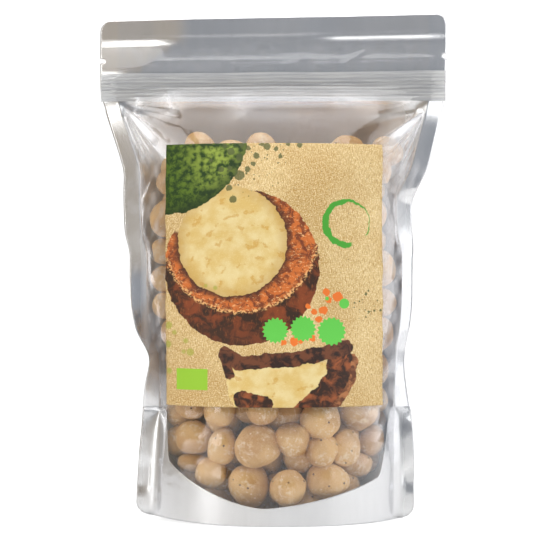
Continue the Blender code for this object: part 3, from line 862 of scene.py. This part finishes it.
def kraft_paper(look, where):
    """Lay the bare paper: warm, mottled, with fibres and specks."""
    cloud = look.noise(where, 0.035, 5.0, 0.6)
    look.colour = look.mix(cloud.step(0.35, 0.65), (0.49, 0.3, 0.085), (0.71, 0.53, 0.245))
    look.coat(look.noise(where, 0.14, 6.0, 0.7).step(0.5, 0.66) * 0.4, (0.44, 0.25, 0.07))
    look.coat(look.distance(where, (62, 66)).step(38.0, 82.0) * 0.5, (0.46, 0.27, 0.075))
    look.coat(look.noise(where, 1.7, 4.0, 0.7).step(0.44, 0.62) * 0.74, (0.9, 0.78, 0.5))
    fibre = look.noise(on_label(look, 3, 0.5, 0.6), 0.9, 5.0, 0.7)
    look.coat(fibre.step(0.48, 0.61) * 0.86, (0.41, 0.23, 0.06))
    look.coat(look.specks(where, 0.55, (0.06, 0.15), (0.74, 0.8)), (0.13, 0.08, 0.03))


def bark(look, rough, light, dark, scale, low=0.42, high=0.6):
    """Brown watercolour mottling between two tones."""
    return look.mix(look.noise(rough, scale, 5.0, 0.6, 0.8).step(low, high), light, dark)


def upper_nut(look, where, rough):
    """Lay the kernel, its red-brown crescent and dark bowl, and give back the kernel's colour."""
    shell = look.disc(rough, SHELL_CENTRE, SHELL_RADIUS)
    kernel = look.disc(rough, KERNEL_CENTRE, KERNEL_RADIUS)
    inside_rim = look.disc(rough, RIM_CENTRE, RIM_RADIUS)
    open_side = look.distance(where, (14, 112)).fade(29.0, 31.0)
    wall = shell.less(kernel).less(open_side)
    cream = look.mix(look.noise(where, 0.12, 5.0).step(0.35, 0.65), (0.66, 0.46, 0.15), (0.74, 0.6, 0.29))
    swirl = look.distance(where, (44, 60)) * 0.9 + look.noise(where, 0.1, 5.0, 0.65) * 14.0
    swirl = (swirl * 0.9).math("SINE") * look.noise(where, 0.16, 3.0).step(0.48, 0.6)
    cream = look.mix(swirl.step(0.35, 0.9) * 0.6, cream, (0.56, 0.3, 0.045))
    cream = look.mix(look.noise(where, 1.6, 6.0, 0.8).step(0.52, 0.66) * 0.5, cream, (0.86, 0.76, 0.46))
    from_kernel = look.distance(rough, KERNEL_CENTRE)
    look.coat(kernel, look.mix(from_kernel.step(19.0, 26.5) * 0.55, cream, (0.46, 0.26, 0.06)))
    flame = bark(look, rough, (0.58, 0.15, 0.03), (0.19, 0.045, 0.015), 0.22)
    flecks = look.noise(on_label(look, 0.6, 1.3, 0.7), 0.7, 5.0, 0.75)
    flame = look.mix(flecks.step(0.56, 0.63), flame, (0.82, 0.46, 0.2))
    flame = look.mix(look.noise(rough, 0.5, 5.0, 0.7).step(0.56, 0.64) * 0.8, flame, (0.1, 0.022, 0.01))
    look.coat(wall, flame)
    look.coat(from_kernel.fade(26.0, 29.5) * wall * 0.9, (0.055, 0.022, 0.012))
    deep = bark(look, rough, (0.22, 0.05, 0.014), (0.035, 0.016, 0.008), 0.13, 0.36, 0.6)
    streaky = look.noise(on_label(look, 1.6, 0.5), 0.55, 5.0, 0.7)
    deep = look.mix(streaky.step(0.54, 0.68) * 0.6, deep, (0.34, 0.11, 0.03))
    under = look.axes(rough)[1].fade(28.0, 46.0) * 0.5
    look.coat(shell.less(inside_rim), look.mix(under, deep, (0.06, 0.022, 0.01)))
    lip = (look.distance(rough, RIM_CENTRE) - RIM_RADIUS).math("ABSOLUTE").fade(0.3, 1.5)
    flecked = look.noise(where, 0.8, 3.0).step(0.46, 0.56).less(open_side)
    look.coat(lip * shell * flecked, (0.76, 0.42, 0.16))
    return cream


def lower_piece(look, rough, cream):
    """Lay the broken piece of shell with a pale inside."""
    hollow = look.disc(rough, PIECE_HOLLOW, PIECE_HOLLOW_RADIUS)
    look.coat(hollow * look.axes(rough)[1].fade(21.0, 22.0), cream)
    broken = bark(look, rough, (0.3, 0.085, 0.028), (0.035, 0.016, 0.01), 0.17, 0.36, 0.6)
    rim = bark(look, rough, (0.4, 0.16, 0.06), (0.12, 0.04, 0.018), 0.2)
    look.coat(look.stroke(rough, PIECE_RIM, 3.2), rim)
    look.coat(look.stroke(rough, PIECE_RIGHT, 5.6), broken)
    look.coat(look.stroke(rough, PIECE_CHIP, 4.2), broken)
    edge = look.stroke(rough, PIECE_TOP, 3.4) | look.stroke(rough, PIECE_LEFT, 2.2)
    look.coat(edge, bark(look, rough, (0.15, 0.05, 0.022), (0.028, 0.014, 0.01), 0.16))


def green_husk(look, where, rough):
    """Lay the green husk in the corner, with the drops scattered round it."""
    leaf = look.noise(rough, 0.3, 8.0, 0.78).step(0.42, 0.6)
    leaf = look.mix(leaf, (0.01, 0.034, 0.003), (0.085, 0.15, 0.01))
    glow = look.distance(rough, (31, 121)).fade(6.0, 30.0) * look.noise(where, 0.3, 5.0).step(0.38, 0.62)
    leaf = look.mix(glow, leaf, (0.26, 0.34, 0.05))
    rim = look.distance(rough, HUSK_CENTRE).step(31.0, 39.0) * 0.7
    leaf = look.mix(rim, leaf, (0.012, 0.03, 0.004))
    look.coat(look.disc(rough, HUSK_CENTRE, HUSK_RADIUS), leaf)
    drops = look.spots(look.jitter(where, 0.6, 1.2), HUSK_DROPS, 0.2)
    fine = splatter(look, where, (40, 118), (10.0, 30.0), 0.8, 0.42)
    fine = fine | splatter(look, where, (98, 50), (5.0, 12.0), 0.7, 0.55)
    look.coat((drops | fine) * 0.85, (0.075, 0.095, 0.028))


def ring_and_badges(look, where, rough):
    """Lay the brush ring, the plain badges, the green patch and the coloured dots."""
    look.coat(look.spots(where, OLIVE_DOTS, 0.5) * 0.75, (0.36, 0.36, 0.05))
    look.coat(look.spots(rough, ORANGE_DOTS), (0.74, 0.17, 0.025))
    spiky = look.jitter(where, 0.9, 0.5, 1.0)
    badges = [look.burst(spiky, (x, y), radius, 17, 0.45) for x, y, radius in BADGES]
    look.coat(union([look.spots(where, GREEN_DOTS), *badges]), (0.115, 0.53, 0.07))
    outer_ring = look.disc(rough, RING_CENTRE, RING_RADIUS + 0.6, 0.2)
    inner_ring = look.disc(rough, (RING_CENTRE[0] + 1.5, RING_CENTRE[1] + 0.3), RING_RADIUS - 1.3, 0.2)
    gap = look.distance(where, (93.5, 77.5)).step(4.0, 5.5)
    look.coat(outer_ring.less(inner_ring) * gap, (0.06, 0.32, 0.03))
    look.coat(look.rectangle(where, PATCH_LOW, PATCH_HIGH), (0.29, 0.54, 0.035))


def label_finish():
    """Printed kraft label: a watercolour nut in shell and husk, brush ring and plain spots."""
    look = Finish("kraft_paper", roughness=0.62, specular_ior_level=0.3)
    where = on_label(look)
    rough = look.jitter(where, 0.28, 3.2, 4.0)
    kraft_paper(look, where)
    cream = upper_nut(look, where, rough)
    lower_piece(look, rough, cream)
    green_husk(look, where, rough)
    ring_and_badges(look, where, rough)
    look.set(base_color=look.colour)
    look.bump(look.noise(where, 1.4, 5.0, 0.7), 0.3, 0.0003)
    return look.material


def zip_profile(side):
    """Outline of one zip strip, as (depth from the middle plane, height) in mm."""
    outer = 1.18
    inner = 1.0
    low, high = (ZIP_LOW - ZIP_RIDGE) / MM, (ZIP_HIGH - ZIP_RIDGE) / MM
    ribs = [(outer - 0.3 * (1 - math.sin(level * 1.9) ** 2), level) for level in np.linspace(low, high, 44)]
    if side > 0:
        track = [(inner, 0.45), (-0.55, 0.35), (-0.75, 0.6), (-0.95, 0.0), (-0.75, -0.6), (-0.55, -0.35),
                 (inner, -0.45)]
    else:
        track = [(inner, 1.9), (-0.6, 1.6), (-0.6, 1.0), (inner - 0.15, 0.95), (inner - 0.15, -0.95),
                 (-0.6, -1.0), (-0.6, -1.6), (inner, -1.9)]
    return ribs + [(inner, high)] + track + [(inner, low)]


def zip_strip(side, material, node):
    """One strip of the zip, drawn out across the pouch."""
    name = node + "_profile"
    profile = np.array(zip_profile(side)) * MM
    x = np.linspace(-1, 1, 80)[None, :] * (FLAT_WIDTH / 2 - 0.8 * MM)
    wave = 0.1 * MM * ripples(x, 0 * x, 50 * MM, 71 + side)
    rows = [placed(x, side * depth, ZIP_RIDGE + height + wave) for depth, height in profile]
    mesh = mesh_from_grid(name, np.concatenate((*rows, rows[0])))
    bm = bmesh.new()
    bm.from_mesh(mesh)
    bmesh.ops.remove_doubles(bm, verts=bm.verts, dist=1e-6)
    bmesh.ops.holes_fill(bm, edges=bm.edges, sides=0)
    bmesh.ops.recalc_face_normals(bm, faces=bm.faces)
    bm.to_mesh(mesh)
    bm.free()
    mesh.set_sharp_from_angle(angle=math.radians(35))
    add_piece(name, mesh, material, node)


def label_sheet(material):
    """The paper label, laid on the front film."""
    low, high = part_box("label")
    height = np.linspace(low.z, high.z, 150)[:, None]
    x = np.linspace(low.x, high.x, 130)[None, :]
    radius, angle, middle = arc(height)
    across = np.arcsin((x - middle) / radius) / angle
    grid = bulge_points(height, across, -1, FILM / 2 + PAPER / 2 + LABEL_GAP)
    add_sheet("kraft_label", grid, material, "label", PAPER)


def roughen(points, centre, seed):
    """Shape a smooth kernel: soft lumps, and a few places worn flat."""
    rng = np.random.default_rng(seed)
    local = points - centre
    size = np.abs(local).max()
    for _ in range(3):
        face = rng.normal(size=3)
        face /= np.linalg.norm(face)
        over = local @ face - size * rng.uniform(0.76, 0.95)
        local -= np.outer(np.clip(over, 0, None) * 0.85, face)
    offset = Vector(rng.uniform(-9, 9, 3))
    lumps = [noise.noise(spot * 1.3 + offset) * 0.07 + noise.noise(spot * 4 + offset) * 0.018
             for spot in (Vector(p / size) for p in local)]
    return centre + local * (1 + np.array(lumps))[:, None]


def smooth_copy(node, levels):
    """The CAD kernel's mesh with its quads rebuilt and subdivided."""
    bm = bmesh.new()
    bm.from_mesh(node.data)
    bmesh.ops.remove_doubles(bm, verts=bm.verts, dist=1e-6)
    bmesh.ops.join_triangles(bm, faces=bm.faces, angle_face_threshold=0.7, angle_shape_threshold=0.9)
    mesh = bpy.data.meshes.new(node.name + "_cage")
    bm.to_mesh(mesh)
    bm.free()
    cage = linked(node.name + "_cage", mesh)
    cage.modifiers.new("Round", "SUBSURF").levels = levels
    bpy.context.view_layer.update()
    smooth = bpy.data.meshes.new_from_object(cage.evaluated_get(bpy.context.evaluated_depsgraph_get()))
    bpy.data.objects.remove(cage)
    return smooth


def front_kernels(material):
    """A detailed kernel in the place of each CAD kernel."""
    for seed, node in enumerate(sorted(kernel_names())):
        mesh = smooth_copy(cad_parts[node], 2)
        points = mesh_points(mesh)
        centre = points.mean(axis=0)
        shaped = roughen(centre + (points - centre) * KERNEL_SWELL, centre, 100 + seed)
        mesh.vertices.foreach_set("co", shaped.astype(np.float32).ravel())
        mesh.shade_smooth()
        mesh.name = node.replace("kernel", "nut")
        add_piece(node.replace("kernel", "nut"), mesh, material, node)


def pack_kernels(count, seed):
    """Places and radii of the kernels further in, settled between the films."""
    rng = np.random.default_rng(seed)
    fixed = np.array([(*centre, sum(extent) / 6) for centre, extent in kernel_boxes()])
    starts = [rng.uniform(low, high, count) for low, high in INNER_STARTS]
    places = (np.stack(starts) * MM).T
    radii = rng.uniform(*INNER_RADII, count) * MM
    for _ in range(SETTLING_STEPS):
        move = np.zeros_like(places)
        for others, sizes, share in ((places, radii, 0.5), (fixed[:, :3], fixed[:, 3], 0.9)):
            gap = places[:, None, :] - others[None, :, :]
            distance = np.linalg.norm(gap, axis=2) + 1e-9
            overlap = np.clip(radii[:, None] + sizes[None, :] - distance, 0, None)
            overlap[distance < 1e-8] = 0
            move += share * 0.7 * (gap / distance[:, :, None] * overlap[:, :, None]).sum(axis=1)
        places += move
        places[:, 2] -= 0.12 * MM
        places[:, 0] += 0.06 * MM * np.sign(places[:, 0])
        radius, angle, middle = arc(places[:, 2])
        for side in (-1, 1):
            centre = np.stack((middle, -side * radius * np.cos(angle)), axis=1)
            away = places[:, :2] - centre
            length = np.linalg.norm(away, axis=1)
            allowed = radius - radii - CLEAR_OF_FILM
            held = centre + away * (allowed / length)[:, None]
            places[:, :2] = np.where((length > allowed)[:, None], held, places[:, :2])
        reach = (places[:, 0] - middle) / (radius * np.sin(angle))
        rise = np.clip((np.abs(reach) - FLOOR_FLAT_ALONG) / (1 - FLOOR_FLAT_ALONG), 0, 1)
        floor = np.minimum(GUSSET_FOLD * rise ** FLOOR_POWER, seal_height(reach)) + radii + CLEAR_OF_FLOOR
        places[:, 2] = np.clip(places[:, 2], floor, FILL_TOP - 0.3 * radii)
    return places, radii


def round_cage(cuts):
    """Points and quads of a cube drawn out to a ball."""
    bm = bmesh.new()
    bmesh.ops.create_cube(bm, size=2)
    bmesh.ops.subdivide_edges(bm, edges=bm.edges, cuts=cuts, use_grid_fill=True)
    points = np.array([vert.co.normalized() for vert in bm.verts])
    quads = np.array([[vert.index for vert in face.verts] for face in bm.faces])
    bm.free()
    return points, quads


def inner_kernels(material):
    """The kernels further in, as one mesh of separate nuts."""
    ball, quads = round_cage(7)
    places, radii = pack_kernels(INNER_KERNELS, 7)
    rng = np.random.default_rng(17)
    points, faces = [], []
    for i, (place, radius) in enumerate(zip(places, radii)):
        shape = ball * radius
        shape[:, 2] *= 0.94 + 0.16 * ramp(ball[:, 2], 0.6, 1.0)
        shape[:, :2] *= 1.04 - 0.1 * ramp(ball[:, 2], 0.2, 0.8)[:, None]
        turn = np.array(Matrix.Rotation(rng.uniform(0, math.pi), 3, Vector(rng.normal(size=3))))
        points.append(roughen(shape @ turn.T + place, place, 300 + i))
        faces.append(quads + i * len(ball))
    mesh = bpy.data.meshes.new("nuts_inside")
    mesh.from_pydata(np.concatenate(points).tolist(), [], np.concatenate(faces).tolist())
    mesh.shade_smooth()
    add_piece("nuts_inside", mesh, material, "kernel_fill")


def pouch():
    """Every piece of the pouch."""
    clear = clear_film_finish()
    metal = metal_film_finish("metallised_film", 0.82, 1.0)
    # The gusset is the same metallised film painted darker, 0.65 against 0.82: painted shade on the pouch's
    # base.
    gusset_metal = metal_film_finish("gusset_metal", 0.65, 0.3)
    height = film_rows()
    front_grid = notched(whole_row(height, -1))
    front = add_sheet("front_film", front_grid, clear, "front_panel", FILM)
    # Store the painted highlight on the front film.
    mark_glare_highlight(front.data)
    back_grid = notched(whole_row(height, 1))[:, ::-1]
    add_sheet("back_film", back_grid, metal, "back_panel", FILM)
    shares = np.linspace(0, 1, 22)[:, None]
    skirt_front = gusset_skirt(-1, shares)
    skirt_back = gusset_skirt(1, shares)
    floor = gusset_floor(skirt_front[-1], skirt_back[-1], 36)
    grid = np.concatenate((skirt_front, floor, skirt_back[::-1]))
    add_sheet("gusset_film", grid, gusset_metal, "bottom_gusset", FILM)
    plastic = zip_finish()
    zip_strip(1, plastic, "zip_ridge_strip")
    zip_strip(-1, plastic, "zip_groove_strip")
    label_sheet(label_finish())
    nut = kernel_finish()
    front_kernels(nut)
    inner_kernels(nut)


# Stage: distances in metres
CAMERA_PLACE = (-0.0016, -1.2, 0.111)
CAMERA_AIM = (-0.0016, 0.0, 0.1218)
FOCAL_LENGTH = 163.6
ROOM = (0.28, 0.3, 0.335)
ROOM_LEFT = (0.4, 0.35, 0.29)
ROOM_TURNS = (-0.24, -0.05)
SWEEP_FRONT, SWEEP_BACK, SWEEP_HALF, SWEEP_RADIUS, SWEEP_TOP = -1.6, 1.2, 0.55, 0.6, 2.2
SOFTBOX_AIM = (0, 0, 0.12)
# Softboxes: name, place, width and height, watts
SOFTBOXES = (
    ("left_softbox", (-1.05, -0.62, 0.45), (0.42, 1.1), 4),
    ("right_softbox", (1.2, -0.15, 0.35), (1.5, 1.2), 8),
    ("top_softbox", (0.0, -0.3, 1.25), (1.6, 1.9), 20),
)


def aimed(name, data, place, aim):
    """A camera or light at a place, turned to face a point."""
    made = linked(name, data)
    made.location = place
    made.rotation_euler = (Vector(aim) - Vector(place)).to_track_quat("-Z", "Y").to_euler()
    return made


def camera():
    """A level, distant camera in front of the pouch."""
    data = bpy.data.cameras.new("camera")
    data.lens = FOCAL_LENGTH
    data.sensor_width = 36
    bpy.context.scene.camera = aimed("camera", data, CAMERA_PLACE, CAMERA_AIM)


def sweep():
    """Pale floor that curves up into a backdrop."""
    outline = [(SWEEP_FRONT, 0.0)]
    for i in range(17):
        turn = math.pi / 2 * i / 16
        outline.append((SWEEP_BACK + SWEEP_RADIUS * math.sin(turn), SWEEP_RADIUS * (1 - math.cos(turn))))
    outline.append((SWEEP_BACK + SWEEP_RADIUS, SWEEP_TOP))
    grid = [[(x, y, z) for x in (-SWEEP_HALF, SWEEP_HALF)] for y, z in outline]
    mesh = mesh_from_grid("sweep", np.array(grid))
    look = Finish("sweep", base_color=(0.3, 0.3, 0.3), roughness=0.9, emission_color=(1.0, 1.0, 1.0),
                  emission_strength=0.85)
    mesh.materials.append(look.material)
    linked("sweep", mesh)


def softbox(name, place, size, power):
    """A rectangular light that faces the pouch."""
    data = bpy.data.lights.new(name, "AREA")
    data.shape = "RECTANGLE"
    data.size, data.size_y = size
    data.energy = power
    aimed(name, data, place, SOFTBOX_AIM)


def studio():
    """Soft light: a grey room, warmer on the left, two side softboxes and one overhead in front."""
    world = bpy.data.worlds.new("studio")
    world.use_nodes = True
    tree = world.node_tree
    split = new_node(tree, "SeparateXYZ", new_node(tree, "TexCoord").outputs["Generated"])
    left = Field(tree, split.outputs["X"]).fade(*ROOM_TURNS)
    plug(tree, mix_colours(tree, left, ROOM, ROOM_LEFT), tree.nodes["Background"].inputs["Color"])
    bpy.context.scene.world = world
    for box in SOFTBOXES:
        softbox(*box)
    bpy.context.scene.view_settings.view_transform = "Standard"


camera()
studio()
sweep()
pouch()
